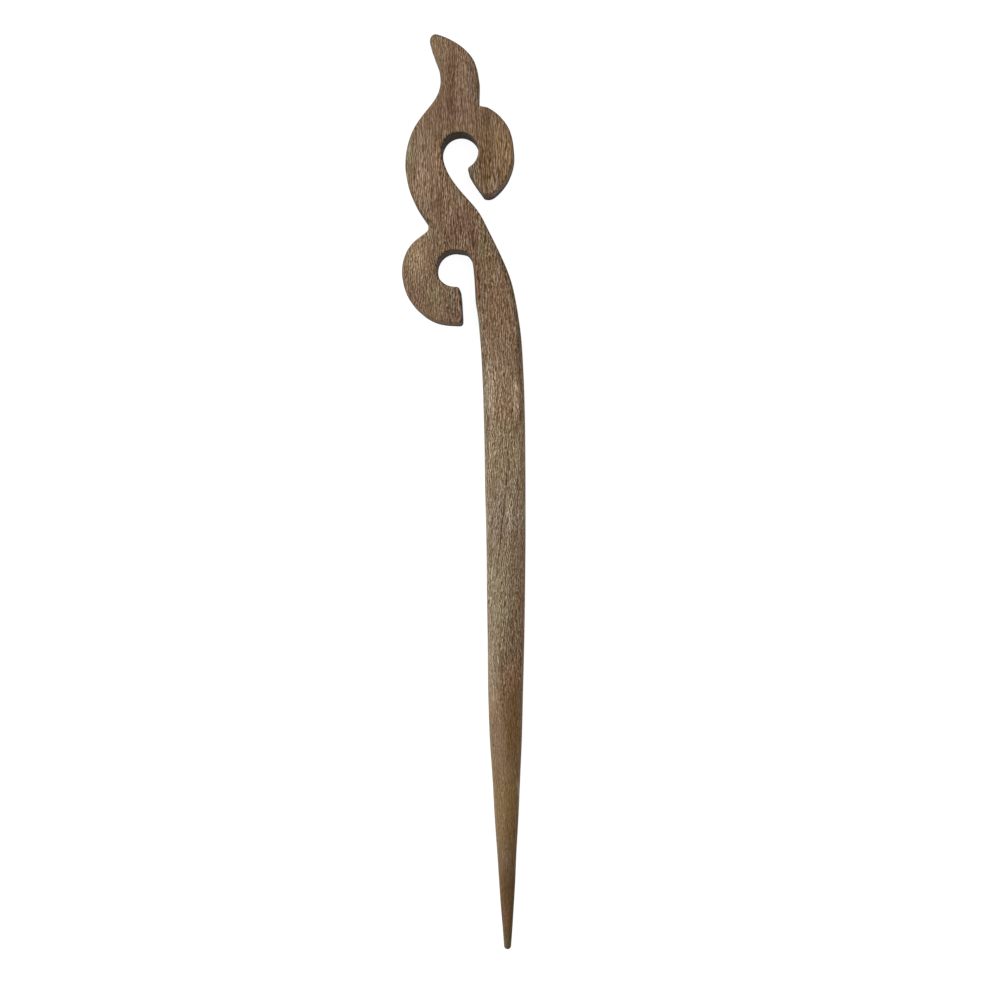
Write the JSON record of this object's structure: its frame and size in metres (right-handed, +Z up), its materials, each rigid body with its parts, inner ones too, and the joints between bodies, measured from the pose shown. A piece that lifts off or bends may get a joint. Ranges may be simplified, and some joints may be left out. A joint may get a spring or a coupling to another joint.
{
  "type": "wooden hair stick with a scrolled head",
  "caption": "One-piece wooden hair stick: a flat sawn head of a flame over mirrored open scrolls, running into a long slim shaft that thins to a rounded tip.",
  "frame": {"origin": "centre of the outline, on the underside that the stick lies on", "axes": "+Y along the stick towards its scrolled head, +Z up through the thickness of the board, +X to the right as the stick is pictured"},
  "size_m": [0.0248, 0.1843, 0.005],
  "materials": {
    "walnut": "sanded matte walnut with fine lengthwise pores, reddish and olive-brown streaks and darker sawn edges"
  },
  "bodies": {
    "root": {"hair_stick": "walnut"}
  },
  "joints": []
}
